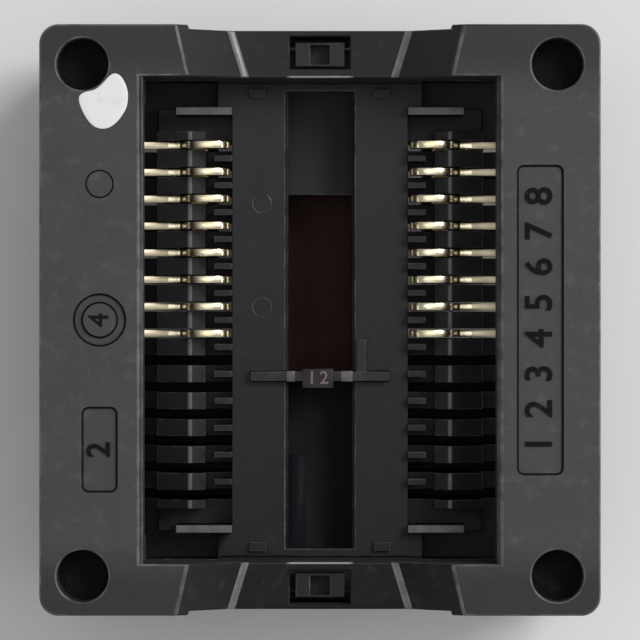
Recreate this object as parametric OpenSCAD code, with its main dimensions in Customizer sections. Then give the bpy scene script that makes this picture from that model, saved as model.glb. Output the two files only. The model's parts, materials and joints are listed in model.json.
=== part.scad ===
// Open-top test socket for wide-body small-outline chips on a 1.27 mm pitch.
// Pressing the cover down swings both rows of contacts open; four springs lift it again.
// Board face of the base at z = 0, +Z up, rows along Y, origin at the middle of the underside.

/* [Contact rows] */
// Distance between neighbouring contacts in a row
pitch = 1.27; // [1.1:0.01:1.5]
// Contact positions moulded on each side
positions = 14; // [10:1:16]
// Contacts fitted on each side, counted from the marked end
fitted = 8; // [4:1:10]
// Thickness of the contact sheet
sheet = 0.34; // [0.2:0.01:0.36]
// Play between a contact and each wall of its slot
slot_gap = 0.06; // [0.04:0.01:0.1]

/* [Contact shape] */
// Width of the stamped arms and posts
strip_w = 0.45; // [0.35:0.01:0.5]
// Height of the flexing neck above the board
neck_h = 4.6; // [4.4:0.05:4.8]
// Distance of the neck outside the nest wall
neck_out = 2.47; // [2.4:0.01:2.6]
// Radius of the rounded neck
neck_r = 0.35; // [0.3:0.01:0.38]
// Running gap round the neck
neck_gap = 0.04; // [0.03:0.005:0.06]
// Wall of the cup under the neck
cup_wall = 0.06; // [0.05:0.01:0.1]
// Radius of the follower that the cover pushes
follower_r = 0.4; // [0.3:0.01:0.45]
// Distance of the follower outside the window edge
follower_out = 2.3; // [2.2:0.05:2.4]
// Gap between the follower and the cover at rest
follower_gap = 0.08; // [0.06:0.01:0.12]
// Gap between the upper and the lower jaw
jaw_gap = 0.05; // [0.03:0.01:0.1]
// Reach of the lower jaw pad that a lead rests on
jaw_l = 1.1; // [0.9:0.05:1.15]
// Height of the head above the jaw pad
head_h = 0.95; // [0.85:0.05:1]
// Length of the head, from its nose to the stem
head_l = 1.75; // [1.6:0.05:1.8]
// Height of the bend in the stem over the neck
elbow_rise = 1.7; // [1.2:0.05:2.2]
// Distance of that bend inside the neck
elbow_in = 0.25; // [0:0.05:0.4]
// Drop from the head to where the lever leaves the stem
branch_drop = 1.9; // [0.6:0.05:2]
// Drop of the lever's bend below the pushing face
lever_dip = 1.3; // [1.2:0.05:1.4]
// Width of the lever and of the nose
lever_w = 0.4; // [0.3:0.05:0.45]
// Height of the contact's root in the base
root_t = 2.3; // [1.6:0.1:2.5]
// Radius of the hole in the root that the moulding grips
grip_r = 0.35; // [0.2:0.05:0.45]
// Distance of the root above the underside
root_low = 0.3; // [0.1:0.05:0.5]

/* [Solder tails] */
// Length of the tails and of the locating pegs below the board face
tail_l = 3.2; // [2.6:0.1:4]
// Width of a tail
tail_w = 0.5; // [0.4:0.05:0.6]
// Distance of the inner row of tails from the middle
tail_x = 7.62; // [7.5:0.02:7.7]
// Step from the inner to the outer row of tails
tail_step = 2.54; // [2.2:0.02:2.6]
// Diameter of a locating peg
peg_d = 2; // [1.5:0.1:2.4]
// Distance of each peg from the middle, along the rows
peg_y = 10.4; // [9:0.1:11]

/* [Nest] */
// Width of the platform under the chip
nest_w = 8.26; // [8:0.02:8.4]
// Height of the platform above the board
nest_h = 7.4; // [7.2:0.05:7.45]
// Width of the trench along the platform
trench_w = 3; // [2:0.1:3.6]
// Height of the trench floor at the marked end
trench_head_h = 4.9; // [4.4:0.1:6.4]
// Height of the trench floor at the other end
trench_foot_h = 4.5; // [4.4:0.1:6]
// Height of the deep floor in the middle of the trench
trench_deep_h = 1; // [0.8:0.1:3]
// Length of the trench
trench_l = 21.6; // [20:0.1:22]
// Place along the rows where the deep floor starts
deep_start_y = 5.9; // [4:0.1:7]
// Width of the shelf in the trench, at the plain end
trench_shelf_w = 0.8; // [0.4:0.1:1.2]
// Length of that shelf
trench_shelf_l = 4.4; // [2:0.1:6]
// Depth of the shelf below the platform
trench_shelf_drop = 1.2; // [0.6:0.1:2]
// Chamfer along the trench
trench_edge = 0.15; // [0.05:0.01:0.3]
// Size of the four small pads near the corners of the platform
corner_pad_w = 0.8; // [0.4:0.1:1.2]
corner_pad_l = 0.45; // [0.3:0.05:0.8]
// Height of those pads over the platform
corner_pad_h = 0.25; // [0.1:0.05:0.4]
// Distance of the pads inside the platform's side
corner_pad_in = 0.8; // [0.4:0.1:1.2]
// Height of the jaw pads above the platform
pad_rise = 0.35; // [0.3:0.05:0.5]

/* [Comb] */
// Width of the teeth beside the platform
tooth_w = 0.87; // [0.8:0.01:0.9]
// Thickness of a tooth
tooth_t = 0.3; // [0.2:0.02:0.5]
// Height of the teeth above the platform
tooth_rise = 0.55; // [0.4:0.05:0.7]
// Width of the valley behind the teeth
valley_w = 0.4; // [0.3:0.05:0.45]
// Height of the valley floor
valley_h = 5.7; // [5.4:0.1:6.8]
// Width of the ridge that guides the arms
ridge_w = 2.3; // [2.2:0.02:2.32]
// Height of the crest of the ridge
crest_h = 8; // [7.8:0.05:8.1]
// Drop from the crest to the shoulders of the ridge
crest_drop = 0.45; // [0.4:0.05:0.8]
// Distance of the crest from the ridge's inner face
crest_in = 0.73; // [0.4:0.01:1.2]
// Width of the flat on the crest
crest_w = 0.14; // [0.05:0.01:0.3]
// Width of the slope that falls away at the ridge's outer face
ridge_slope_w = 0.7; // [0.3:0.05:1]
// Length by which the thin ribs stop short of the ridge's outer face
rib_short = 0.9; // [0.4:0.05:1.6]
// Web that closes the bottom of a slot without a contact
web_t = 0.8; // [0.4:0.1:2]
// Comb past the last slot's middle
comb_end = 0.645; // [0.5:0.005:0.7]
// Thickness of the thin rib past each end of the comb
rib_t = 0.38; // [0.3:0.02:0.5]
// Space between the comb and the rib
rib_gap = 0.76; // [0.5:0.02:0.9]
// Space between the rib and the end wall
pocket_l = 1.26; // [1:0.02:1.5]

/* [Base] */
// Thickness of the base plate
plate_h = 4.2; // [4:0.05:4.3]
// Step of the base plate inside the cover's outline
plate_step = 0.3; // [0.1:0.05:0.6]
// Depth of the solder relief under each row of tails
relief_depth = 0.22; // [0.05:0.01:0.26]
// Space between the tails and the edge of that relief
relief_gap = 0.6; // [0.3:0.05:0.8]
// Height of the kerb over the plate
kerb_h = 0.7; // [0.4:0.05:0.8]
// Thickness of the kerb
kerb_t = 0.65; // [0.5:0.05:0.8]
// Width of a latch post
latch_w = 2.3; // [1.8:0.1:2.4]
// Depth of a latch post's stem
latch_t = 0.9; // [0.7:0.05:0.95]
// Reach of the latch hook past its stem
hook_reach = 0.4; // [0.3:0.05:0.45]
// Play between the hook and the cover's outer wall
hook_play = 0.1; // [0.06:0.01:0.12]
// Height of the latch hook
hook_h = 1.25; // [0.9:0.05:1.4]
// Play under the latch hook at rest
hook_gap = 0.05; // [0.03:0.01:0.1]
// Side of the square pit in the top of a latch
pit_w = 0.9; // [0.6:0.05:1]
// Depth of that pit
pit_depth = 1; // [0.5:0.1:1.2]

/* [Cover] */
// Travel of the cover
travel = 2; // [1.8:0.05:2.05]
// Gap left under the cover at the end of its travel
stop_gap = 0.1; // [0.08:0.01:0.3]
// Play between the cover and the base
slide_gap = 0.15; // [0.12:0.01:0.2]
// Width of the side rails
rail_w = 4.8; // [4.7:0.05:5.2]
// Width of the end rails
end_rail_w = 2.4; // [2.3:0.05:2.8]
// Space between the comb and the window edge
window_gap = 0.5; // [0.4:0.02:0.6]
// Height of the rails over the pushing face
rail_h = 4.5; // [4:0.1:5]
// Depth of the side skirt below the pushing face
skirt_h = 1.7; // [1.65:0.05:1.8]
// Wall of the side skirts
skirt_wall = 1; // [0.8:0.05:1.05]
// Wall of the end skirts at the corners
end_wall = 0.8; // [0.7:0.02:0.9]
// Set-back of the middle of each end skirt
end_inset = 0.2; // [0.1:0.05:0.25]
// Length of that set-back
end_inset_l = 12.2; // [10:0.1:13]
// Corner radius of the cover
corner_r = 0.9; // [0.4:0.05:1.4]
// Width of the hollow under the window edge
lip_w = 1.9; // [1.7:0.05:1.95]
// Height of that hollow over the pushing face
lip_rise = 2; // [1.9:0.05:2.4]
// Height of the low middle of each end rail over the pushing face
dip_h = 2.3; // [2.2:0.05:2.6]
// Thickness of that low middle
dip_t = 1; // [0.8:0.05:1.1]
// Width of the dip's upper edge at the window
dip_in_w = 11.8; // [9:0.1:13]
// Width of the dip's upper edge at the outer face
dip_out_w = 13.8; // [9:0.1:16]
// Width of the low middle at the window
low_in_w = 6; // [4:0.1:7.5]
// Width of the low middle at the outer face
low_out_w = 8.7; // [4:0.1:8.9]
// Chamfer along the long edges of the window
window_edge = 0.2; // [0.05:0.01:0.4]
// Width of the steep step
step_w = 0.34; // [0.05:0.01:0.4]
// Height of the steep step beside the low middle
dip_step = 0.3; // [0.25:0.05:0.8]
// Height of the latch ledge over the pushing face
ledge_h = 0.6; // [0.4:0.05:0.7]
// Play beside a latch post
latch_gap = 0.25; // [0.2:0.01:0.3]

/* [Cover marks] */
// Depth of the shallow panels and of the ring
mark_depth = 0.18; // [0.1:0.01:0.3]
// Corner radius of the panels
panel_r = 0.25; // [0.1:0.05:0.4]
// Width of the long panel
panel_w = 2; // [1.5:0.1:2.5]
// Length of the long panel
panel_l = 14.2; // [8:0.1:16]
// Distance of the marks' middle from the cover's side
mark_in = 2.8; // [1.6:0.1:3.4]
// Width of the small panel
tag_w = 1.5; // [1:0.1:2]
// Length of the small panel
tag_l = 3.8; // [2:0.1:5]
// Distance of the small panel from the middle, towards the plain end
tag_y = 6; // [4:0.1:8]
// Diameter of the ring mark
ring_d = 2.3; // [1.6:0.1:2.6]
// Width of the ring's groove
ring_t = 0.3; // [0.15:0.01:0.35]

/* [Springs] */
// Distance of the springs from the cover's side
spring_in_x = 2; // [1.95:0.01:2.1]
// Distance of the springs from the cover's end
spring_in_y = 1.85; // [1.85:0.01:2]
// Outer diameter of a spring
spring_d = 2.2; // [1.8:0.05:2.3]
// Wire of a spring
wire_d = 0.3; // [0.25:0.01:0.35]
// Working coils of a spring
coils = 6; // [4:1:7]
// Play round a spring in its pocket and seat
spring_gap = 0.2; // [0.15:0.01:0.25]
// Depth of the seat in the base plate
seat_depth = 1.2; // [1:0.05:1.4]
// Depth of the spring pocket over the pushing face
pocket_rise = 1.5; // [1.3:0.05:1.6]
// Wall of the cover's corner blocks
block_wall = 0.45; // [0.4:0.01:0.5]
// Diameter of the holes in the top of the corners
tool_hole_d = 2.4; // [2:0.05:2.6]
// Depth of those holes
tool_hole_depth = 2.2; // [1.5:0.05:2.4]

/* [Package stop] */
// Place of the stop along the rows
stop_y = -2.65; // [-3:0.05:-2.3]
// Thickness of the stop
stop_t = 0.45; // [0.4:0.05:0.6]
// Length of the stop across the nest
stop_l = 6.6; // [5:0.1:7.6]
// Height of the stop over the platform
stop_rise = 0.5; // [0.3:0.05:0.8]
// Depth of the groove that holds the stop
stop_depth = 0.6; // [0.4:0.05:0.8]
// Length of the foot that steadies the stop
stop_foot_l = 1.5; // [1:0.1:2]
// Step down from the bar to its foot
stop_foot_drop = 0.1; // [0.05:0.05:0.2]
// Play of the stop in its groove
stop_gap_y = 0.03; // [0.02:0.01:0.05]

/* [Hidden] */
$fn = 48;
over = 1;

// Along the rows
row_half = (positions - 1) * pitch / 2;
comb_half = row_half + comb_end;
rib_y = comb_half + rib_gap;
wall_y = rib_y + rib_t + pocket_l;
cover_half_l = wall_y + end_rail_w;
skirt_y = cover_half_l - end_wall;
body_y = skirt_y - slide_gap;

// Across the rows
nest_x = nest_w / 2;
nest_y = wall_y - slide_gap;
tooth_x = nest_x + tooth_w;
ridge_x = tooth_x + valley_w;
comb_x = ridge_x + ridge_w;
window_x = comb_x + window_gap;
cover_half_w = window_x + rail_w;
skirt_x = cover_half_w - skirt_wall;
body_x = skirt_x - slide_gap;
slot_w = sheet + 2 * slot_gap;
slot_x = nest_x + slot_gap;

// Heights
cover_bottom = plate_h + travel + stop_gap;
push_h = cover_bottom + skirt_h;
cover_top = push_h + rail_h;
lip_h = push_h + lip_rise;
dip_top = push_h + dip_h;
dip_under = dip_top - dip_t;
end_wall_h = dip_under - travel - stop_gap;
ledge_top = push_h + ledge_h;
hook_under = ledge_top + hook_gap;
pad_h = nest_h + pad_rise;

// Corners
spring_x = cover_half_w - spring_in_x;
spring_y = cover_half_l - spring_in_y;
bore_r = spring_d / 2 + spring_gap;
block_x = spring_x - bore_r - block_wall;
block_y = spring_y - bore_r - block_wall;
seat_h = plate_h - seat_depth;
spring_top = push_h + pocket_rise;

// Contact, drawn for the +X row in the plane across the rows
neck = [nest_x + neck_out, neck_h];
follower = [window_x + follower_out, push_h - follower_gap - follower_r];
head_y = pad_h + head_h - strip_w / 2;
nose_x = slot_x + slot_gap + strip_w / 2;
stem_top = [nose_x + head_l - strip_w / 2, head_y];
root_h = root_low + root_t;
lever_reach = follower - neck;
// The angle through which a contact opens when the follower drops by the travel
open_angle = atan2(lever_reach.y, lever_reach.x) - asin((lever_reach.y - travel) / norm(lever_reach));

// ---- shared shapes ----

module rounded_plate(width, length, radius, height) {
    linear_extrude(height) {
        square([width - 2 * radius, length], center = true);
        square([width, length - 2 * radius], center = true);
        for (x = [-1, 1], y = [-1, 1])
            translate([x * (width / 2 - radius), y * (length / 2 - radius)]) circle(radius);
    }
}

// A box with its middle at x, y and its faces at the heights low and high
module block(width, length, low, high, x = 0, y = 0) {
    translate([x - width / 2, y - length / 2, low]) cube([width, length, high - low]);
}

// Both ends or both sides alike
module both_ends() {
    children();
    mirror([0, 1, 0]) children();
}

module both_sides() {
    children();
    mirror([1, 0, 0]) children();
}

// An outline across the rows, pulled out along them
module pulled_along(length) {
    translate([0, length / 2, 0]) rotate([90, 0, 0]) linear_extrude(length) children();
}

// A strip with round ends from one point to the next
module strip(points, width = strip_w) {
    for (n = [0:len(points) - 2]) {
        step = points[n + 1] - points[n];
        translate(points[n]) rotate(atan2(step.y, step.x))
            translate([0, -width / 2]) square([norm(step), width]);
    }
    for (p = points) translate(p) circle(width / 2, $fn = 24);
}

// The middle of contact number n, counted from the marked end
function contact_y(n) = row_half - (n - 1) * pitch;
function is_outer(n) = n % 2 == 0;
function tail_at(n) = is_outer(n) ? tail_x + tail_step : tail_x;

// ---- base ----

module comb_outline() {
    shoulder_h = crest_h - crest_drop;
    crest_x = ridge_x + crest_in;
    polygon([
        [0, 0], [comb_x, 0], [comb_x, shoulder_h - crest_drop], [comb_x - ridge_slope_w, shoulder_h],
        [crest_x + crest_w / 2, crest_h], [crest_x - crest_w / 2, crest_h],
        [ridge_x, shoulder_h], [ridge_x, valley_h], [nest_x, valley_h], [nest_x, nest_h], [0, nest_h]
    ]);
}

// The thin teeth between the leads of a chip
module teeth() {
    tooth_h = nest_h + tooth_rise;
    for (n = [1:positions - 1]) both_sides()
        block(tooth_w, tooth_t, 0, tooth_h, nest_x + tooth_w / 2, contact_y(n) - pitch / 2);
}

module slot(n) {
    comb_end_x = comb_x + over;
    tail_end_x = tail_at(n) + tail_w / 2 + slot_gap;
    low = n > fitted ? web_t : -over;
    // Up through the comb
    block(comb_end_x - slot_x, slot_w, low, cover_top, (comb_end_x + slot_x) / 2, contact_y(n));
    // Under the plate, as far as the tail
    if (n <= fitted)
        block(tail_end_x - slot_x, slot_w, low, root_h + slot_gap, (tail_end_x + slot_x) / 2, contact_y(n));
}

module latch() {
    stem_y = body_y - latch_t;
    hook_y = body_y + hook_reach;
    top = hook_under + hook_h;
    nose_h = 0.35 * hook_h;
    difference() {
        translate([-latch_w / 2, 0, 0]) rotate([90, 0, 90]) linear_extrude(latch_w) polygon([
            [stem_y, plate_h], [body_y, plate_h], [body_y, hook_under], [hook_y, hook_under],
            [hook_y, hook_under + nose_h], [hook_y - hook_reach / 2, top], [stem_y, top]
        ]);
        block(pit_w, pit_w, top - pit_depth, top + over, 0, (stem_y + hook_y) / 2 - hook_reach / 4);
    }
}

// Shallow recess round the tails, which keeps the plate off the solder
module solder_relief() {
    low_x = tail_x - tail_w / 2 - relief_gap;
    high_x = tail_x + tail_step + tail_w / 2 + relief_gap;
    block(high_x - low_x, 2 * comb_half, -over, relief_depth, (high_x + low_x) / 2);
}

module peg() {
    tip = 0.2 * peg_d;
    translate([0, peg_y, 0]) {
        translate([0, 0, -tail_l + tip]) cylinder(h = tail_l - tip, d = peg_d);
        translate([0, 0, -tail_l]) cylinder(h = tip, d1 = peg_d - 2 * tip, d2 = peg_d);
    }
}

// A sloping cut along an edge at x, high; it takes the same width and depth off
module long_chamfer(length, x, high, width) {
    pulled_along(length) polygon([
        [x - over, high - width - over], [x + width + over, high + over], [x - over, high + over]
    ]);
}

module trench() {
    stop_face = stop_y + stop_t / 2;
    y_head = trench_l / 2;
    shelf_h = nest_h - trench_shelf_drop;
    block(trench_w, y_head - deep_start_y, trench_head_h, cover_top, 0, (y_head + deep_start_y) / 2);
    block(trench_w, deep_start_y - stop_face + over / 10, trench_deep_h, cover_top, 0,
        (deep_start_y + stop_face) / 2);
    // The shallow end keeps a shelf on its left
    difference() {
        block(trench_w, stop_face + y_head, trench_foot_h, cover_top, 0, (stop_face - y_head) / 2);
        block(2 * trench_shelf_w, 2 * trench_shelf_l, 0, shelf_h, -trench_w / 2, -y_head);
    }
    both_sides() long_chamfer(trench_l, trench_w / 2, nest_h, trench_edge);
}

module corner_pads() {
    pad_x = nest_x - corner_pad_in - corner_pad_w / 2;
    pad_y = nest_y - corner_pad_l;
    both_ends() both_sides() block(corner_pad_w, corner_pad_l, 0, nest_h + corner_pad_h, pad_x, pad_y);
}

module stop_groove() {
    block(stop_l + 2 * stop_gap_y, stop_t + 2 * stop_gap_y, nest_h - stop_depth, cover_top, 0, stop_y);
}

module base() {
    end_x = block_x - slide_gap;
    plate_x = cover_half_w - plate_step;
    plate_y = cover_half_l - plate_step;
    nest_end_x = tooth_x - slide_gap;
    rib_x = comb_x - rib_short;
    color([0.16, 0.16, 0.17]) {
        difference() {
            union() {
                rounded_plate(2 * plate_x, 2 * plate_y, corner_r, plate_h);
                both_sides() pulled_along(2 * comb_half) comb_outline();
                teeth();
                corner_pads();
                // Nest platform up to the end walls, and the low ground beside the ribs
                block(2 * nest_x, 2 * nest_y, 0, nest_h);
                block(2 * comb_x, 2 * (rib_y + rib_t), 0, valley_h);
                both_ends() {
                    block(2 * nest_end_x, nest_y - rib_y, 0, nest_h, 0, (nest_y + rib_y) / 2);
                    block(2 * nest_end_x, body_y - rib_y, 0, end_wall_h, 0, (body_y + rib_y) / 2);
                    block(2 * end_x, body_y - wall_y, 0, end_wall_h, 0, (body_y + wall_y) / 2);
                    both_sides() block(rib_x - nest_x, rib_t, 0, crest_h,
                        (rib_x + nest_x) / 2, rib_y + rib_t / 2);
                    latch();
                    peg();
                }
                both_sides() block(kerb_t, 2 * (block_y - slide_gap), 0, plate_h + kerb_h,
                    body_x - kerb_t / 2);
            }
            for (n = [1:positions]) both_sides() slot(n);
            both_sides() solder_relief();
            trench();
            stop_groove();
            both_ends() both_sides() translate([spring_x, spring_y, seat_h])
                cylinder(h = plate_h, r = bore_r);
        }
    }
}

// ---- cover ----

// A cut through an end rail, between two levels, with its own widths at the window and at the outer face
module tapered_cut(low, high, in_low_w, in_high_w, out_low_w, out_high_w) {
    hull() for (side = [[wall_y - over, in_low_w, in_high_w], [cover_half_l + over, out_low_w, out_high_w]])
        translate([0, side[0], 0]) rotate([90, 0, 0]) linear_extrude(over / 100) polygon([
            [-side[2] / 2, high + over], [-side[2] / 2, high], [-side[1] / 2, low],
            [side[1] / 2, low], [side[2] / 2, high], [side[2] / 2, high + over]
        ]);
}

// The dip in an end rail widens outwards and steps down steeply to its low middle
module end_dip() {
    step_top = dip_top + dip_step;
    slope_in_w = low_in_w + 2 * step_w;
    slope_out_w = low_out_w + 2 * step_w;
    tapered_cut(step_top, cover_top, slope_in_w, dip_in_w, slope_out_w, dip_out_w);
    tapered_cut(dip_top, step_top, low_in_w, slope_in_w, low_out_w, slope_out_w);
}

module cover_hollow() {
    // For the levers, for the end walls, and under the window edge
    block(2 * skirt_x, 2 * block_y, cover_bottom - over, push_h);
    block(2 * block_x, 2 * skirt_y, cover_bottom - over, push_h);
    both_ends() block(2 * block_x, skirt_y - wall_y, cover_bottom - over, dip_under, 0,
        (skirt_y + wall_y) / 2);
    block(2 * (window_x + lip_w), 2 * block_y, push_h - over, lip_h);
}

module cover_marks() {
    floor_h = cover_top - mark_depth;
    rail_mid = cover_half_w - mark_in;
    translate([rail_mid, 0, floor_h]) rounded_plate(panel_w, panel_l, panel_r, over);
    translate([-rail_mid, -tag_y, floor_h]) rounded_plate(tag_w, tag_l, panel_r, over);
    translate([-rail_mid, 0, floor_h]) difference() {
        cylinder(h = over, d = ring_d);
        translate([0, 0, -over]) cylinder(h = 3 * over, d = ring_d - 2 * ring_t);
    }
}

module cover() {
    way_in = body_y - latch_t - slide_gap;
    way_out = body_y + hook_reach + hook_play;
    color([0.29, 0.29, 0.3]) {
        difference() {
            translate([0, 0, cover_bottom])
                rounded_plate(2 * cover_half_w, 2 * cover_half_l, corner_r, cover_top - cover_bottom);
            block(2 * window_x, 2 * wall_y, cover_bottom - over, cover_top + over);
            cover_hollow();
            both_sides() long_chamfer(2 * wall_y, window_x, cover_top, window_edge);
            both_ends() {
                block(end_inset_l, 2 * end_inset, cover_bottom - over, cover_top + over, 0, cover_half_l);
                end_dip();
                // Way for the latch post and its hook, over the ledge
                block(latch_w + 2 * latch_gap, way_out - way_in, ledge_top, cover_top, 0,
                    (way_out + way_in) / 2);
                both_sides() translate([spring_x, spring_y, 0]) {
                    cylinder(h = spring_top, r = bore_r);
                    translate([0, 0, cover_top - tool_hole_depth])
                        cylinder(h = over + tool_hole_depth, d = tool_hole_d);
                }
            }
            cover_marks();
        }
    }
}

// ---- package stop ----

module package_stop() {
    low = nest_h - stop_depth;
    high = nest_h + stop_rise;
    color([0.24, 0.22, 0.22]) {
        block(stop_l, stop_t, low, high, 0, stop_y);
        block(trench_w - 2 * stop_gap_y, stop_t, trench_foot_h, low + over / 10, 0, stop_y);
        block(stop_t, stop_foot_l + stop_t / 2, nest_h, high - stop_foot_drop, trench_w / 2 + stop_t,
            stop_y + stop_t / 4 + stop_foot_l / 2);
    }
}

// ---- springs ----

// Middle of the wire after t turns: a closed coil at each end and open coils between
function coil_height(t, turns, low, high) =
    t < 1 ? low + t * wire_d :
    t > turns - 1 ? high - (turns - t) * wire_d :
    low + wire_d + (t - 1) / (turns - 2) * (high - low - 2 * wire_d);

module coil_spring(length) {
    turns = coils + 2;
    steps = 14;
    sides = 6;
    low = wire_d / 2;
    high = length - wire_d / 2;
    middle_r = (spring_d - wire_d) / 2;
    rings = turns * steps;
    points = [for (n = [0:rings]) let (t = n / steps, z = coil_height(t, turns, low, high))
        for (s = [0:sides - 1]) let (a = 360 * s / sides + 90, r = middle_r + wire_d / 2 * cos(a))
            [r * cos(360 * t), r * sin(360 * t), z + wire_d / 2 * sin(a)]];
    walls = [for (n = [0:rings - 1], s = [0:sides - 1])
        let (a = n * sides + s, b = n * sides + (s + 1) % sides) [a, b, b + sides, a + sides]];
    first_end = [for (s = [sides - 1:-1:0]) s];
    last_end = [for (s = [0:sides - 1]) rings * sides + s];
    polyhedron(points, concat(walls, [first_end, last_end]), convexity = 10);
}

// Springs 1 to 4 go round from the marked corner
module spring(n) {
    side = n == 1 || n == 4 ? -1 : 1;
    end = n < 3 ? 1 : -1;
    color([0.75, 0.76, 0.78])
        translate([side * spring_x, end * spring_y, seat_h]) coil_spring(spring_top - seat_h);
}

// ---- contacts ----

// Fixed part: root, solder tail, lower jaw and the cup under the neck
module foot_outline(n) {
    tail = tail_at(n);
    jaw_out = nose_x + jaw_l - strip_w;
    jaw_y = pad_h - strip_w / 2;
    cup_w = 2 * (neck_r + neck_gap + cup_wall);
    difference() {
        union() {
            translate([jaw_out - strip_w / 2, root_low])
                square([tail + tail_w / 2 - jaw_out + strip_w / 2, root_h - root_low]);
            strip([[nose_x, jaw_y], [jaw_out, jaw_y], [jaw_out, root_low + strip_w]]);
            translate([neck.x - cup_w / 2, root_low]) square([cup_w, neck.y - neck_r / 2 - root_low]);
            polygon([
                [tail - tail_w / 2, root_low], [tail - tail_w / 2, -tail_l + tail_w],
                [tail - tail_w / 5, -tail_l], [tail + tail_w / 5, -tail_l],
                [tail + tail_w / 2, -tail_l + tail_w], [tail + tail_w / 2, root_low]
            ]);
        }
        translate(neck) circle(neck_r + neck_gap);
        // Hole that the moulding grips
        translate([(neck.x + jaw_out) / 2, (root_h + root_low) / 2]) circle(grip_r);
    }
}

// Moving part: stem, head with its nose over the lead, and the lever to the follower
module arm_outline() {
    elbow = [neck.x - elbow_in, neck.y + elbow_rise];
    branch = stem_top + (elbow - stem_top) * branch_drop / norm(elbow - stem_top);
    dip = [window_x, push_h - lever_dip];
    nose = [nose_x + strip_w / 4, pad_h + jaw_gap + lever_w / 2];
    translate(neck) circle(neck_r);
    strip([neck, elbow, stem_top, [nose_x, head_y]]);
    strip([[nose_x, head_y], nose], lever_w);
    strip([branch, dip, follower], lever_w);
    translate(follower) circle(follower_r);
}

module foot(n, side) {
    color([0.86, 0.74, 0.45]) translate([0, contact_y(n), 0])
        mirror([side < 0 ? 1 : 0, 0, 0]) pulled_along(sheet) foot_outline(n);
}

module arm(n, side) {
    color([0.93, 0.88, 0.72]) translate([0, contact_y(n), 0])
        mirror([side < 0 ? 1 : 0, 0, 0]) pulled_along(sheet) arm_outline();
}

base();
cover();
package_stop();
for (n = [1:4]) spring(n);
for (n = [1:fitted]) {
    foot(n, -1);
    foot(n, 1);
    arm(n, -1);
    arm(n, 1);
}
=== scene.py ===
import json
import math

import bmesh
import bpy
from mathutils import Matrix, Vector


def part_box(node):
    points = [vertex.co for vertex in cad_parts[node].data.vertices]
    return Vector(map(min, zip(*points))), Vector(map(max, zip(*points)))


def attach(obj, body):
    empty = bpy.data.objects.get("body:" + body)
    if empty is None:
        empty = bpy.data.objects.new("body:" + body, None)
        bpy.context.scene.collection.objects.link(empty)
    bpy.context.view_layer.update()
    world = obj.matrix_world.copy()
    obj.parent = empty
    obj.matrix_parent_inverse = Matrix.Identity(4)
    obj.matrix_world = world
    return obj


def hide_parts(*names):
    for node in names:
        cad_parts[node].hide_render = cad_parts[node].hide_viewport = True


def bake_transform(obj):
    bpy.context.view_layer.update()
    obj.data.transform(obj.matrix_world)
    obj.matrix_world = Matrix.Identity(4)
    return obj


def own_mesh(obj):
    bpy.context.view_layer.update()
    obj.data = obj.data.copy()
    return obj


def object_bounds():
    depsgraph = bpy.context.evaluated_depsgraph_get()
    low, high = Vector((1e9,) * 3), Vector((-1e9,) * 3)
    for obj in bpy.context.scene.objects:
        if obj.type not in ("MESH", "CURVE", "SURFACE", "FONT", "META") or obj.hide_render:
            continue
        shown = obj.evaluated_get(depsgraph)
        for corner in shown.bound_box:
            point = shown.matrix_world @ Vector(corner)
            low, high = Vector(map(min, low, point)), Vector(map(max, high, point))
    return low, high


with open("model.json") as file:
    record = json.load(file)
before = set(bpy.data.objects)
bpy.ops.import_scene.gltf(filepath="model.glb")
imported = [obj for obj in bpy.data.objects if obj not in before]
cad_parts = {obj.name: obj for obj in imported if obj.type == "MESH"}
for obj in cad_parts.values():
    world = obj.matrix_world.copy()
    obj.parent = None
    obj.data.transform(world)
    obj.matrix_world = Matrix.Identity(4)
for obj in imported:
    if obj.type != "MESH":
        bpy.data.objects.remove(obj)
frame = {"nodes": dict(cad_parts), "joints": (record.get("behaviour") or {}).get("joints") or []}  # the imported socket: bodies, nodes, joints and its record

cad_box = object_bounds()

# ---------------------------------------------------------------------------------------------
# The bench. A sheet of pale card lies under the solder tails, a large soft box hangs over it,
# and a smaller one fills from the other side. The socket is looked at from straight above.
MM = 0.001
floor_z = cad_box[0].z
view_width = 31.5 * MM
view_lens = 300.0
sensor = 36.0
view_height = view_lens * view_width / sensor

bpy.ops.mesh.primitive_plane_add(size=1.2, location=(0, 0, floor_z))
card = bpy.context.active_object
card.name = "bench_card"
card.data.materials.append(bpy.data.materials.new("pale_card"))
card.data.materials[0].use_nodes = True
card_face = card.data.materials[0].node_tree.nodes["Principled BSDF"]
card_face.inputs["Base Color"].default_value = (0.80, 0.81, 0.80, 1)
card_face.inputs["Roughness"].default_value = 0.7

bpy.ops.object.camera_add(location=(0, 0, floor_z + view_height))
camera = bpy.context.active_object
camera.data.sensor_width = sensor
camera.data.lens = view_lens
camera.data.clip_start = 0.01
camera.data.clip_end = 10
bpy.context.scene.camera = camera


def soft_box(name, place, size, power):
    """A square lamp that faces the socket."""
    bpy.ops.object.light_add(type="AREA", location=place)
    lamp = bpy.context.active_object
    lamp.name = name
    lamp.data.size = size
    lamp.data.energy = power
    lamp.rotation_euler = (-Vector(place)).to_track_quat("-Z", "Y").to_euler()


soft_box("key_box", (0.19, 0.13, 0.30), 0.16, 0.75)
soft_box("top_box", (-0.02, 0.03, 0.45), 0.22, 0.21)
soft_box("right_box", (0.33, 0.00, 0.075), 0.16, 0.48)
soft_box("left_box", (-0.33, -0.04, 0.09), 0.16, 0.12)
sky = bpy.data.worlds.new("studio")
sky.use_nodes = True
sky.node_tree.nodes["Background"].inputs["Color"].default_value = (0.95, 0.97, 1.0, 1)
sky.node_tree.nodes["Background"].inputs["Strength"].default_value = 0.30
bpy.context.scene.world = sky
bpy.context.scene.view_settings.view_transform = "Standard"

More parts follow.
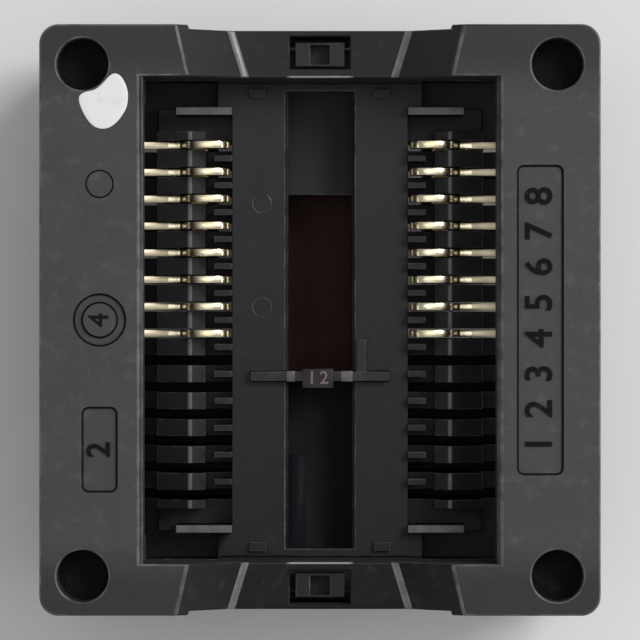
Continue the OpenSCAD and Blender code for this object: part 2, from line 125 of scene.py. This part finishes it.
# ---------------------------------------------------------------------------------------------
# The cover: a frame moulded in black glass-filled plastic. Its mould has a fine spark-eroded
# grain, every edge has a tiny radius, and the edges are worn smooth and a little paler, and
# painted paler still as a highlight along them.
cover_edge = 0.09
# Corners of the mesh closer than weld are one, and faces flatter than flat_angle are one face.
# Edges sharper than radius_angle get a radius, and what meets flatter than smooth_angle is round.
weld = 0.0008
flat_angle = math.radians(0.6)
radius_angle = math.radians(24)
smooth_angle = math.radians(44)
cover_black = (0.047, 0.047, 0.049)
cover_worn = (0.125, 0.124, 0.128)


class Wire:
    """A node's output in a material: sums on it add Math nodes, and node() adds any other."""

    def __init__(self, tree, socket=None):
        self.tree = tree
        self.socket = socket

    def node(self, kind, settings=None, inputs=None, out=0):
        made = self.tree.nodes.new("ShaderNode" + kind)
        for name, value in (settings or {}).items():
            if name == "stops":
                stops = made.color_ramp.elements
                while len(stops) < len(value):
                    stops.new(1.0)
                for stop, (place, level) in zip(stops, value):
                    stop.position = place
                    stop.color = (level, level, level, 1)
            else:
                setattr(made, name, value)
        for name, value in (inputs or {}).items():
            if isinstance(value, Wire):
                self.tree.links.new(value.socket, made.inputs[name])
            else:
                made.inputs[name].default_value = value
        return Wire(self.tree, made.outputs[out])

    def math(self, operation, first, second):
        return self.node("Math", {"operation": operation}, {0: first, 1: second})

    def __add__(self, other):
        return self.math("ADD", self, other)

    def __radd__(self, other):
        return self.math("ADD", other, self)

    def __sub__(self, other):
        return self.math("SUBTRACT", self, other)

    def __mul__(self, other):
        return self.math("MULTIPLY", self, other)

    def __rmul__(self, other):
        return self.math("MULTIPLY", other, self)

    def noise(self, size, detail=2.0, stretch=(1, 1, 1)):
        """Noise of a real grain size in millimetres, drawn out along an axis by stretch."""
        where = self.node("Mapping", None, {"Vector": self, "Scale": [1 / s for s in stretch]})
        return self.node("TexNoise", None, {"Vector": where, "Scale": 1 / (size * MM), "Detail": detail})

    def along(self, axis, start, end, mirrored=False):
        """A share that grows from 0 to 1 between two places, in millimetres, on an axis."""
        where = self.node("SeparateXYZ", None, {"Vector": self}, out="XYZ".index(axis))
        if mirrored:
            where = where.math("ABSOLUTE", where, 0)
        return ((where * (1 / MM) - start) * (1 / (end - start))).ramp((0, 0), (1, 1))

    def ramp(self, *stops):
        return self.node("ValToRGB", {"stops": stops}, {"Fac": self})

    def blend(self, share, first, second):
        """Two colours mixed by a share."""
        colours = {0: share, 6: first, 7: second}
        for index in (6, 7):
            if isinstance(colours[index], tuple):
                colours[index] = (*colours[index][:3], 1)
        return self.node("Mix", {"data_type": "RGBA"}, colours, out=2)


def new_finish(name):
    """A new material, its surface shader, and a wire that carries the place on the piece."""
    material = bpy.data.materials.new(name)
    material.use_nodes = True
    tree = material.node_tree
    surface = tree.nodes["Principled BSDF"]
    place = Wire(tree).node("TexCoord", out=3)
    return material, surface, place


def feed(surface, place, **inputs):
    """Links or sets the surface's inputs; a height in millimetres goes through a Bump node."""
    for name, value in inputs.items():
        if name == "Height":
            bump = place.node("Bump", None, {"Height": value, "Distance": MM, "Strength": 1.0})
            place.tree.links.new(bump.socket, surface.inputs["Normal"])
        elif isinstance(value, Wire):
            place.tree.links.new(value.socket, surface.inputs[name.replace("_", " ")])
        else:
            surface.inputs[name.replace("_", " ")].default_value = value


def black_plastic(name, colour, worn, wear, grain, roughness, shine=0.35, painted_light_y=0.0, dark_beyond=None):
    """Glass-filled plastic: cloudy flow, pale fibre flecks, mould grain, and rubbed patches.

    The tint is painted paler towards +Y by the share given, a painted light gradient. An axis
    with two distances from the middle keeps the tint up to the second and darkens it beyond the first.
    """
    material, surface, place = new_finish(name)
    cloud = place.noise(3.2, 3)
    flecks = place.noise(0.09, 1, (1, 3.2, 1)).ramp((0.66, 0), (0.76, 1))
    rubbed = place.noise(0.7, 5).ramp((0.62 - 0.30 * wear, 0), (0.80 - 0.18 * wear, 1))
    scratches = place.noise(0.10, 2, (22, 1, 1)).ramp((0.68, 0), (0.74, 1))
    tint = place.blend(cloud, tuple(0.80 * c for c in colour), tuple(1.22 * c for c in colour))
    tint = place.blend(flecks * 0.12, tint, worn)
    tint = place.blend(rubbed * wear, tint, worn)
    if dark_beyond:
        dark = tuple(0.45 * c for c in cover_black)
        tint = place.blend(place.along(*dark_beyond, mirrored=True), dark, tint)
    # Painted light: a gradient that pales the tint towards +Y
    if painted_light_y:
        tint = place.blend(place.along("Y", -9, 10) * painted_light_y, tint, worn)
    pits = place.noise(grain, 3)
    feed(
        surface, place, Base_Color=tint, Specular_IOR_Level=shine,
        Roughness=roughness + 0.14 * (cloud - 0.5) + 0.16 * (pits - 0.5) - 0.10 * rubbed - 0.08 * scratches,
        Height=pits * (0.10 * grain) - scratches * 0.003,
    )
    return material


def moulded(node, name, radius, face, edge, segments=2, sunk=0.0):
    """The CAD solid's own shape with a small radius on its outer edges, in their own finish.

    Sunk lowers its top, in millimetres.
    """
    bpy.ops.object.select_all(action="DESELECT")
    piece = bpy.data.objects.new(name, frame["nodes"][node].data.copy())
    bpy.context.scene.collection.objects.link(piece)
    bpy.context.view_layer.objects.active = piece
    piece.select_set(True)
    piece.scale = (1 / MM,) * 3
    bpy.ops.object.transform_apply(scale=True)
    bpy.ops.object.mode_set(mode="EDIT")
    bpy.ops.mesh.select_all(action="SELECT")
    bpy.ops.mesh.remove_doubles(threshold=weld)
    bpy.ops.mesh.dissolve_limited(angle_limit=flat_angle)
    bpy.ops.object.mode_set(mode="OBJECT")
    piece.data.materials.clear()
    piece.data.materials.append(face)
    piece.data.materials.append(edge)
    shape = bmesh.new()
    shape.from_mesh(piece.data)
    top = max(point.co.z for point in shape.verts)
    for point in shape.verts:
        point.co.z = min(point.co.z, top - sunk)
    weight = shape.edges.layers.float.new("bevel_weight_edge")
    for line in shape.edges:
        line[weight] = float(line.is_convex and line.calc_face_angle(0) > radius_angle)
    shape.to_mesh(piece.data)
    shape.free()
    bevel = piece.modifiers.new("radius", "BEVEL")
    bevel.width = radius
    bevel.segments = segments
    bevel.limit_method = "WEIGHT"
    bevel.use_clamp_overlap = False
    bevel.material = 1
    even = piece.modifiers.new("even_faces", "WEIGHTED_NORMAL")
    even.keep_sharp = True
    bpy.ops.object.modifier_apply(modifier=bevel.name)
    bpy.ops.object.shade_smooth_by_angle(angle=smooth_angle)
    bpy.ops.object.modifier_apply(modifier=even.name)
    piece.scale = (MM,) * 3
    bpy.ops.object.transform_apply(scale=True)
    return piece


# The cover's face is darker at both ends, beyond 12.2 mm from the middle along Y, and keeps its tint within
# 10.2 mm
cover_face = black_plastic(
    "cover_plastic", cover_black, cover_worn, 0.25, 0.10, 0.50, dark_beyond=("Y", 12.2, 10.2)
)
# Its edges' radius faces are worn paler and painted paler still, a painted highlight
cover_rim_highlight = black_plastic("cover_edges_painted_highlight", cover_black, cover_worn, 0.85, 0.10, 0.38)
# The top is sunk by as much as the paint on it is thick, so the whole stays inside the CAD box
paint_thick = 0.025
cover = moulded("cover", "cover_frame", cover_edge, cover_face, cover_rim_highlight, sunk=paint_thick)
# Its sunk parts are painted darker, as shade: the dipped end rails, which are also smoother and painted
# paler towards +Y as a light gradient, and the corner holes.
# The steep steps beside the low middles are painted bright, a painted highlight.
# The grooves round the marks' panels are painted near-black, as shade.
cover_dip_shade = black_plastic("cover_dip_shade", (0.010, 0.010, 0.012), cover_worn, 0.1, 0.07, 0.42, 0.12, painted_light_y=0.11)
cover_step_highlight = black_plastic("cover_step_painted_highlight", (0.11, 0.11, 0.115), (0.24, 0.24, 0.25), 0.6, 0.07, 0.30, 0.6)
cover_hole_shade = black_plastic("cover_hole_shade", (0.009, 0.009, 0.010), cover_worn, 0.1, 0.07, 0.50, 0.05)
cover_groove_shade = black_plastic("cover_groove_shade", (0.006, 0.006, 0.007), cover_worn, 0.05, 0.07, 0.70, 0.04)
cover_side = black_plastic("cover_side", cover_black, cover_worn, 0.25, 0.10, 0.50)
# The middle of the end rails' inner edges is painted bright, a painted highlight
cover_lip_highlight = black_plastic(
    "cover_lip_highlight", (0.30, 0.30, 0.31), (0.38, 0.38, 0.39), 0.5, 0.07, 0.36, 0.3, dark_beyond=("X", 1.60, 1.35)
)
for finish in (cover_dip_shade, cover_step_highlight, cover_hole_shade, cover_groove_shade, cover_side, cover_lip_highlight):
    cover.data.materials.append(finish)
dip_shade, bright, hole_inside, grooves, flanks, lips = range(2, 8)
# Heights over the board, and distances from the middle
cad_top = cad_box[1].z / MM
rail_top = cad_top - paint_thick
under_rail = rail_top - 0.1
mark_floor = 0.18
groove_low = cad_top - mark_floor + 0.002
groove_high = rail_top - 0.002
panel_in, panel_out, panel_end = 8.8, 12.4, 9
window_end = 11.3
dip_half = 7
dip_low = cad_top - 2.2
step_in, step_out = 2.9, 4.8
step_low, step_high = dip_low + 0.02, dip_low + 0.39
lip_half = 0.5
hole = sum(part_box("spring_1"), Vector()) / (2 * MM)
hole_r = 1.2
for face in cover.data.polygons:
    spot = face.center / MM
    off_x, off_y = abs(spot.x), abs(spot.y)
    sunken = spot.z < under_rail
    in_dip = sunken and off_x < dip_half and off_y > window_end + 0.02 and face.normal.z > 0.3
    in_hole = sunken and math.hypot(off_x - abs(hole.x), off_y - abs(hole.y)) < hole_r - 0.02
    by_panel = panel_in < off_x < panel_out and off_y < panel_end
    if face.material_index == 0 and face.normal.z < 0.5:
        face.material_index = flanks
    if in_dip:
        face.material_index = dip_shade
    if off_x < lip_half and abs(off_y - window_end) < 0.1 and abs(spot.z - dip_low) < 0.2:
        face.material_index = lips
    if in_hole:
        face.material_index = hole_inside
    if by_panel and groove_low < spot.z < groove_high:
        face.material_index = grooves
    if in_dip and step_in < off_x < step_out and step_low < spot.z < step_high:
        face.material_index = bright
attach(cover, "cover")
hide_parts("cover")

# ---------------------------------------------------------------------------------------------
# The base: one black moulding with the nest, its toothed combs and ridges, the latches and the
# pegs. It is smoother than the cover and painted a little darker, as the shade of the cover over most of it.
base_edge = 0.04
base_black = (0.020, 0.020, 0.022)
base_worn = (0.070, 0.068, 0.071)

# Its face is also painted paler towards +Y, a painted light gradient
base_face = black_plastic("base_plastic", base_black, base_worn, 0.12, 0.07, 0.44, 0.13, painted_light_y=0.25)
# Its edges' radius faces are worn paler and painted paler still, a painted highlight
base_rim_highlight = black_plastic("base_edges_painted_highlight", base_black, (0.105, 0.103, 0.107), 0.7, 0.07, 0.34, 0.30)
base = moulded("base", "nest_base", base_edge, base_face, base_rim_highlight)
# The crests and ribs that chips slide over are rubbed paler and painted paler still, a painted
# highlight; the deep middle of the trench shows the moulding's raw brown core, and the pockets
# and the trench's low end are painted darkest, as shade
base_crest_highlight = black_plastic("base_crest_highlight", (0.078, 0.078, 0.082), (0.12, 0.12, 0.124), 0.6, 0.07, 0.36, 0.4)
base_core = black_plastic("base_core", (0.050, 0.022, 0.019), (0.080, 0.046, 0.040), 0.2, 0.07, 0.55, 0.10)
base_trench_shade = black_plastic("base_trench_shade", (0.012, 0.011, 0.014), base_worn, 0.05, 0.07, 0.50, 0.06)
base_pocket_shade = black_plastic("base_pocket_shade", (0.004, 0.004, 0.005), base_worn, 0.03, 0.07, 0.60, 0.02)
for finish in (base_crest_highlight, base_core, base_trench_shade, base_pocket_shade):
    base.data.materials.append(finish)
rubbed, core, low_trench, pockets = range(2, 6)
# Heights over the board, and distances from the middle
nest_side, comb_end, crest_low = 4.2, 10.2, 7.97
trench_side, trench_low, trench_high = 1.52, 0.9, 6.9
core_start, core_end = -2.5, 5.95
pocket_x, pocket_y, pocket_z = (4.15, 9), (8.9, 11.28), (3, 7.5)
for face in base.data.polygons:
    spot = face.center / MM
    off_x, off_y = abs(spot.x), abs(spot.y)
    in_trench = off_x < trench_side and trench_low < spot.z < trench_high
    in_corner = pocket_x[0] < off_x < pocket_x[1] and pocket_y[0] < off_y < pocket_y[1]
    if off_x > nest_side and off_y < comb_end and spot.z > crest_low:
        face.material_index = rubbed
    if in_trench and core_start < spot.y < core_end:
        face.material_index = core
    if in_trench and spot.y < core_start:
        face.material_index = low_trench
    if in_corner and pocket_z[0] < spot.z < pocket_z[1]:
        face.material_index = pockets
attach(base, "base")
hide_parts("base")

# ---------------------------------------------------------------------------------------------
# The package stop: a small dark bar pressed into a groove across the nest, from another shot of
# plastic that has a slightly warmer black.
stop_black = (0.034, 0.030, 0.031)
stop_worn = (0.10, 0.088, 0.090)

stop_face = black_plastic("stop_plastic", stop_black, stop_worn, 0.3, 0.06, 0.48, 0.13)
# Its edges' radius faces are worn paler and painted paler still, a painted highlight
stop_rim_highlight = black_plastic("stop_edges_painted_highlight", stop_black, stop_worn, 0.9, 0.06, 0.40, 0.2)
stop = moulded("package_stop", "stop_bar", 0.04, stop_face, stop_rim_highlight)
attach(stop, "base")
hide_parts("package_stop")
# Over the trench the bar widens into a thin pad for figures, between two shoulders painted pale as
# highlights
stop_low, stop_high = (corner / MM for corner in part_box("package_stop"))
bar_half = 0.225
stop_y = stop_low.y + bar_half
pad_rise = 0.03
pad_thick = 0.30
pad_soft = 0.025
pad_x, pad_y = -0.10, stop_y - 0.10
# The shoulders' pale colour is a painted highlight
stop_shoulder_highlight = black_plastic("stop_worn", (0.10, 0.088, 0.092), (0.18, 0.16, 0.16), 0.6, 0.06, 0.36, 0.3)
for name, x, y, wide, deep, finish in (
    ("stop_pad", pad_x, pad_y, 1.45, 0.90, stop_face),
    ("stop_shoulder_left", -1.38, stop_y, 0.40, 0.50, stop_shoulder_highlight),
    ("stop_shoulder_right", 1.26, stop_y, 0.56, 0.50, stop_shoulder_highlight),
):
    bpy.ops.object.select_all(action="DESELECT")
    bpy.ops.mesh.primitive_cube_add(size=1, location=(x, y, stop_high.z + pad_rise - pad_thick / 2))
    pad = bpy.context.active_object
    pad.name = name
    pad.scale = (wide, deep, pad_thick)
    bpy.ops.object.transform_apply(location=True, scale=True)
    soften = pad.modifiers.new("soften", "BEVEL")
    soften.width = pad_soft
    soften.segments = 2
    bpy.ops.object.modifier_apply(modifier=soften.name)
    bpy.ops.object.shade_smooth_by_angle(angle=smooth_angle)
    pad.data.transform(Matrix.Scale(MM, 4))
    pad.data.materials.append(finish)
    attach(pad, "base")

# ---------------------------------------------------------------------------------------------
# Contact feet: stamped from copper alloy sheet and gold plated, each pressed into its slot from
# below, with its solder tail, its root and the lower jaw that a chip's lead rests on.
contacts = sum(1 for node in frame["nodes"] if node.startswith("left_foot_"))
foot_edge = 0.035


def plated_metal(name, colour, dull, roughness, run):
    """Plated sheet metal: faint rolling lines along run, dull patches, and bright rubbed spots."""
    material, surface, place = new_finish(name)
    lines = place.noise(0.05, 2, run)
    patches = place.noise(0.9, 3)
    tint = place.blend(patches.ramp((0.35, 0), (0.75, 1)), colour, dull)
    feed(
        surface, place, Base_Color=tint, Metallic=1.0,
        Roughness=roughness + 0.20 * (patches - 0.5) + 0.16 * (lines - 0.5),
        Height=lines * 0.004,
    )
    return material


foot_gold = plated_metal("foot_gold", (0.83, 0.66, 0.34), (0.62, 0.47, 0.24), 0.34, (1, 1, 18))
foot_cut = plated_metal("foot_gold_cut", (0.88, 0.74, 0.44), (0.72, 0.57, 0.30), 0.28, (1, 18, 1))
for side in ("left", "right"):
    for number in range(1, contacts + 1):
        node = f"{side}_foot_{number}"
        foot = moulded(node, f"{side}_contact_foot_{number}", foot_edge, foot_gold, foot_cut, segments=1)
        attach(foot, "base")
        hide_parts(node)

# ---------------------------------------------------------------------------------------------
# Contact springs: the upper part of each contact, cut from the same sheet. It grows out of the
# root through a thin neck, rises to a head whose nose presses on the lead, and reaches out
# under the cover as a lever with a round follower at its end.
sheet = 0.33
arm_edge = 0.05
arm_low, arm_high = (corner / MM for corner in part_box("right_arm_1"))
hinges = {joint["child"]: Vector(joint["pos_m"]) / MM for joint in frame["joints"] if "pos_m" in joint}
neck = hinges["right_arm_1"]
nose_x = arm_low.x
head_z = arm_high.z
tip_x = arm_high.x
# Points on the middle of the strip, each with the strip's width there
stem = [
    (neck.x, neck.z - 0.9, 0.52), (neck.x, neck.z - 0.3, 0.40),
    (neck.x - 0.02, neck.z + 0.3, 0.36), (neck.x - 0.12, neck.z + 1.0, 0.40),
    (neck.x - 0.22, neck.z + 1.6, 0.46), (neck.x - 0.28, neck.z + 2.1, 0.50),
]
head = [
    (neck.x - 0.38, neck.z + 2.75, 0.46), (neck.x - 0.49, neck.z + 3.30, 0.48),
    (neck.x - 0.64, head_z - 0.36, 0.52), (neck.x - 0.98, head_z - 0.23, 0.46),
    (nose_x + 0.85, head_z - 0.22, 0.46), (nose_x + 0.42, head_z - 0.27, 0.46),
    (nose_x + 0.28, head_z - 0.50, 0.42), (nose_x + 0.34, head_z - 0.82, 0.30),
]
lever = [
    (neck.x + 0.10, neck.z + 1.98, 0.46), (neck.x + 0.75, neck.z + 2.05, 0.42),
    (neck.x + 1.55, neck.z + 2.08, 0.40), (neck.x + 2.35, neck.z + 2.30, 0.40),
    (tip_x - 1.10, neck.z + 2.64, 0.44), (tip_x - 0.66, neck.z + 2.84, 0.74),
    (tip_x - 0.36, neck.z + 2.94, 0.84), (tip_x - 0.12, neck.z + 3.02, 0.62),
    (tip_x - 0.01, neck.z + 3.06, 0.26),
]


def pick(piece, wanted):
    """Selects only the edges whose two ends both pass the test."""
    bpy.ops.mesh.select_all(action="DESELECT")
    bpy.ops.object.mode_set(mode="OBJECT")
    for edge in piece.data.edges:
        edge.select = all(wanted(piece.data.vertices[end].co) for end in edge.vertices)
    for vertex in piece.data.vertices:
        vertex.select = wanted(vertex.co)
    bpy.ops.object.mode_set(mode="EDIT")


def lay_strip(start, facing, width, points):
    """Extrudes the selected edge from start through the points, square to the way it goes."""
    here = Vector((start[0], 0, start[1]))
    for number, (x, z, wide) in enumerate(points):
        there = Vector((x, 0, z))
        ahead = points[number + 1] if number + 1 < len(points) else None
        onward = Vector((ahead[0], 0, ahead[1])) - here if ahead else there - here
        turned = math.atan2(onward.z, onward.x)
        swing = (turned - facing + math.pi) % (2 * math.pi) - math.pi
        bpy.ops.mesh.extrude_region_move(TRANSFORM_OT_translate={"value": there - here})
        bpy.ops.transform.rotate(value=swing, orient_axis="Y", center_override=there)
        bpy.ops.transform.resize(value=(wide / width,) * 3, center_override=there)
        here, facing, width = there, turned, wide


bpy.ops.object.select_all(action="DESELECT")
root_h = 0.5
bpy.ops.mesh.primitive_plane_add(
    size=1, location=(neck.x, 0, stem[0][1] - root_h / 2), rotation=(math.pi / 2, 0, 0)
)
arm_shape = bpy.context.active_object
arm_shape.scale = (stem[0][2], root_h, 1)
bpy.ops.object.transform_apply(location=True, rotation=True, scale=True)
bpy.ops.object.mode_set(mode="EDIT")
pick(arm_shape, lambda co: co.z > stem[0][1] - 0.01)
lay_strip(stem[0][:2], math.pi / 2, stem[0][2], stem[1:] + head)
# The lever leaves the stem's outer side, between its last two points
branch_low, branch_high = stem[-2], stem[-1]
pick(arm_shape, lambda co: branch_low[1] - 0.2 < co.z < branch_high[1] + 0.2 and co.x > branch_high[0])
ends = [arm_shape.matrix_world @ v.co for v in arm_shape.data.vertices if v.select]
middle = sum(ends, Vector()) / len(ends)
along = ends[1] - ends[0] if ends[1].z > ends[0].z else ends[0] - ends[1]
lay_strip((middle.x, middle.z), math.atan2(along.z, along.x) - math.pi / 2, along.length, lever)
bpy.ops.object.mode_set(mode="OBJECT")
smooth = arm_shape.modifiers.new("smooth", "SUBSURF")
smooth.levels = smooth.render_levels = 2
thick = arm_shape.modifiers.new("sheet", "SOLIDIFY")
thick.thickness = sheet
thick.offset = 0
rounded = arm_shape.modifiers.new("rounded", "BEVEL")
rounded.width = arm_edge
rounded.segments = 2
rounded.limit_method = "ANGLE"
rounded.angle_limit = math.radians(50)
rounded.material = 1
arm_gold = plated_metal("arm_gold", (0.95, 0.86, 0.62), (0.86, 0.74, 0.48), 0.28, (14, 1, 1))
arm_cut = plated_metal("arm_gold_cut", (0.97, 0.90, 0.70), (0.90, 0.79, 0.55), 0.24, (1, 14, 1))
arm_lever_shade = plated_metal("arm_gold_lever_shade", (0.66, 0.58, 0.42), (0.52, 0.44, 0.30), 0.42, (14, 1, 1))
for finish in (arm_gold, arm_cut, arm_lever_shade):
    arm_shape.data.materials.append(finish)
for modifier in (smooth, thick, rounded):
    bpy.ops.object.modifier_apply(modifier=modifier.name)
bpy.ops.object.mode_set(mode="EDIT")
bpy.ops.mesh.select_all(action="SELECT")
bpy.ops.mesh.normals_make_consistent(inside=False)
bpy.ops.object.mode_set(mode="OBJECT")
bpy.ops.object.shade_smooth_by_angle(angle=smooth_angle)
# The levers are rougher than the heads and painted darker, as shade
lever_start = neck.x + 0.55
dull = 2
for face in arm_shape.data.polygons:
    if face.center.x > lever_start:
        face.material_index = dull

for name, hinge in hinges.items():
    arm = bpy.data.objects.new(name.replace("_arm_", "_contact_spring_"), arm_shape.data.copy())
    bpy.context.scene.collection.objects.link(arm)
    if hinge.x < 0:
        arm.data.transform(Matrix.Scale(-1, 4, (1, 0, 0)))
        arm.data.flip_normals()
    arm.data.transform(Matrix.Scale(MM, 4) @ Matrix.Translation((0, hinge.y, 0)))
    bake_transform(arm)
    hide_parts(name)
bpy.data.objects.remove(arm_shape)

# ---------------------------------------------------------------------------------------------
# The four lifting springs: hard-drawn stainless wire, coiled with one closed coil at each end.
# They stand between the base plate and the cover's corners.
wire = 0.30
wire_sides = 12
coil_steps = 28
open_coils = 6
springs = sum(1 for node in frame["nodes"] if node.startswith("spring_"))
travel = next(joint["range_m"][1] for joint in frame["joints"] if joint["name"] == "cover_press")


def coil(radius, low, rise, turns):
    """A stretch of coil, made by turning a ring of wire about the spring's axis."""
    bpy.ops.mesh.primitive_circle_add(
        vertices=wire_sides, radius=wire / 2, location=(radius, 0, low), rotation=(math.pi / 2, 0, 0)
    )
    stretch = bpy.context.active_object
    bpy.ops.object.transform_apply(location=True, rotation=True)
    turn = stretch.modifiers.new("turn", "SCREW")
    turn.axis = "Z"
    turn.screw_offset = rise / turns
    turn.iterations = turns
    turn.steps = turn.render_steps = coil_steps
    turn.use_merge_vertices = False
    bpy.ops.object.modifier_apply(modifier=turn.name)
    return stretch


spring_steel = plated_metal("spring_wire", (0.60, 0.60, 0.62), (0.46, 0.46, 0.48), 0.30, (1, 1, 1))
for number in range(1, springs + 1):
    low, high = (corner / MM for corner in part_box(f"spring_{number}"))
    radius = (high.x - low.x - wire) / 2
    bottom = low.z + wire / 2
    top = high.z - wire / 2
    bpy.ops.object.select_all(action="DESELECT")
    stretches = [
        coil(radius, bottom, wire, 1),
        coil(radius, bottom + wire, top - bottom - 2 * wire, open_coils),
        coil(radius, top - wire, wire, 1),
    ]
    for stretch in stretches:
        stretch.select_set(True)
    bpy.ops.object.join()
    spring = bpy.context.active_object
    spring.name = f"lifting_spring_{number}"
    bpy.ops.object.mode_set(mode="EDIT")
    bpy.ops.mesh.select_all(action="SELECT")
    bpy.ops.mesh.remove_doubles(threshold=0.002)
    bpy.ops.mesh.select_all(action="DESELECT")
    bpy.ops.mesh.select_non_manifold(
        use_wire=False, use_multi_face=False, use_non_contiguous=False, use_verts=False
    )
    bpy.ops.mesh.edge_face_add()
    bpy.ops.mesh.select_all(action="SELECT")
    bpy.ops.mesh.normals_make_consistent(inside=False)
    bpy.ops.object.mode_set(mode="OBJECT")
    bpy.ops.object.shade_smooth_by_angle(angle=math.radians(50))
    middle = (low + high) / 2
    spring.data.transform(Matrix.Scale(MM, 4) @ Matrix.Translation((middle.x, middle.y, 0)))
    spring.data.materials.append(spring_steel)
    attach(spring, "base")
    rest_length = (high.z - low.z) * MM
    (rest_length - travel) / rest_length
    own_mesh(spring)
    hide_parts(f"spring_{number}")

# ---------------------------------------------------------------------------------------------
# Marks on the cover's rails: plain raised figures in the long panel, one in the ring and one in
# the small panel, cut into the mould and painted near-black as shade. The stop's pad has two.
figure_rise = 0.10
figure_soft = 0.02


def figures(name, words, x, y, height, spacing, body, floor, turn, finish):
    """Plain figures that stand on a surface and read upwards along it."""
    bpy.ops.object.select_all(action="DESELECT")
    bpy.ops.object.text_add(location=(x, y, floor + figure_rise / 2), rotation=(0, 0, turn))
    mark = bpy.context.active_object
    mark.name = name
    mark.data.body = words
    mark.data.size = height
    mark.data.space_character = spacing
    mark.data.align_x = "CENTER"
    mark.data.align_y = "CENTER"
    mark.data.extrude = figure_rise / 2
    mark.data.bevel_depth = figure_soft
    mark.data.bevel_resolution = 1
    mark.data.resolution_u = 6
    bpy.ops.object.convert(target="MESH")
    mark = bpy.context.active_object
    bpy.ops.object.transform_apply(location=True, rotation=True)
    mark.data.transform(Matrix.Scale(MM, 4))
    mark.data.materials.append(finish)
    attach(mark, body)


rail_floor = cad_top - mark_floor
ring_floor = rail_top + 0.02 - 1.2 * figure_rise
pad_floor = stop_high.z + pad_rise - 0.06
mark_in = 2.8
rail_mid = cad_box[1].x / MM - mark_in
upwards = math.pi / 2
# The rail's figures and its pin ring are painted near-black, as the shade round their raised strokes
mark_shade_black = black_plastic("mark_shade_black", (0.007, 0.007, 0.008), cover_worn, 0.05, 0.06, 0.60, 0.06)
for name, words, x, y, height, spacing, floor in (
    ("rail_figures", "1 2 3 4 5 6 7 8", rail_mid, 0, 1.75, 1.16, rail_floor),
    ("tag_figure", "2", -rail_mid, -6, 1.5, 1, rail_floor),
    ("ring_figure", "4", -rail_mid, 0, 1.3, 1, ring_floor),
):
    figures(name, words, x, y, height, spacing, "cover", floor, upwards, mark_shade_black)
stop_mark = black_plastic("stop_mark", (0.20, 0.14, 0.14), (0.26, 0.19, 0.19), 0.4, 0.06, 0.50, 0.15)
figures("stop_figures", "1 2", pad_x, pad_y, 0.85, 0.9, "base", pad_floor, 0, stop_mark)


ring_sunk = 0.04
ring_thick = 0.12


def pin_ring(name, x, y, surface, across, body, finish):
    """The faint raised ring that an ejector pin leaves on a moulding."""
    bpy.ops.object.select_all(action="DESELECT")
    bpy.ops.mesh.primitive_torus_add(
        location=(x, y, surface - ring_sunk), major_radius=across / 2, minor_radius=ring_thick / 2,
        major_segments=48, minor_segments=10,
    )
    ring = bpy.context.active_object
    ring.name = name
    bpy.ops.object.transform_apply(location=True)
    bpy.ops.object.shade_smooth_by_angle(angle=math.radians(60))
    ring.data.transform(Matrix.Scale(MM, 4))
    ring.data.materials.append(finish)
    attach(ring, body)


stop_proud = 0.5
nest_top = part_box("package_stop")[1].z / MM - stop_proud
pin_ring("rail_pin_ring", -rail_mid, 6.3, rail_top, 1.25, "cover", mark_shade_black)
pin_ring("nest_pin_ring_1", -2.75, 5.5, nest_top, 0.9, "base", base_rim_highlight)
pin_ring("nest_pin_ring_2", -2.75, 0.6, nest_top, 0.9, "base", base_rim_highlight)

# ---------------------------------------------------------------------------------------------
# The paint dab: someone has touched the corner at contact 1 with a brush of white paint. It has
# run to the edge of the corner hole, with a thick middle, a thin rim and the brush's streaks.
dab_middle = (-10.0, 10.05)
# How far the paint reaches from its middle, every 15 degrees from +X round by +Y
dab_reach = [
    1.09, 1.16, 1.26, 1.36, 1.52, 1.48, 0.96, 0.79, 0.74, 0.79, 1.04, 1.24,
    1.14, 1.08, 1.06, 1.09, 1.16, 1.22, 1.21, 1.17, 1.08, 1.04, 1.02, 1.07,
]
bpy.ops.object.select_all(action="DESELECT")
bpy.ops.mesh.primitive_circle_add(vertices=len(dab_reach), radius=1, fill_type="NGON")
dab = bpy.context.active_object
dab.name = "paint_dab"
for point in dab.data.vertices:
    turned = math.degrees(math.atan2(point.co.y, point.co.x)) * len(dab_reach) / 360
    point.co *= dab_reach[round(turned) % len(dab_reach)]
bpy.ops.object.mode_set(mode="EDIT")
bpy.ops.mesh.select_all(action="SELECT")
for width, rise in ((0.05, 0.6), (0.14, 0.3), (0.30, 0.1)):
    bpy.ops.mesh.inset(thickness=width, depth=rise * paint_thick)
bpy.ops.mesh.select_all(action="SELECT")
bpy.ops.mesh.normals_make_consistent(inside=False)
bpy.ops.object.mode_set(mode="OBJECT")
soft = dab.modifiers.new("soft", "SUBSURF")
soft.levels = soft.render_levels = 2
bpy.ops.object.modifier_apply(modifier=soft.name)
bpy.ops.object.shade_smooth()
dab.data.transform(Matrix.Scale(MM, 4) @ Matrix.Translation((*dab_middle, rail_top)))
dab_white, dab_surface, dab_place = new_finish("paint_white")
streaks = dab_place.noise(0.07, 3, (1, 9, 1))
thin = dab_place.noise(0.8, 3).ramp((0.55, 0), (0.75, 1))
dab_colour = dab_place.blend(thin * 0.5 + streaks * 0.2, (0.86, 0.86, 0.84), (0.66, 0.66, 0.65))
feed(
    dab_surface, dab_place, Base_Color=dab_colour,
    Roughness=0.42 + 0.25 * (streaks - 0.5), Height=streaks * 0.012, IOR=1.5,
)
dab.data.materials.append(dab_white)
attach(dab, "cover")
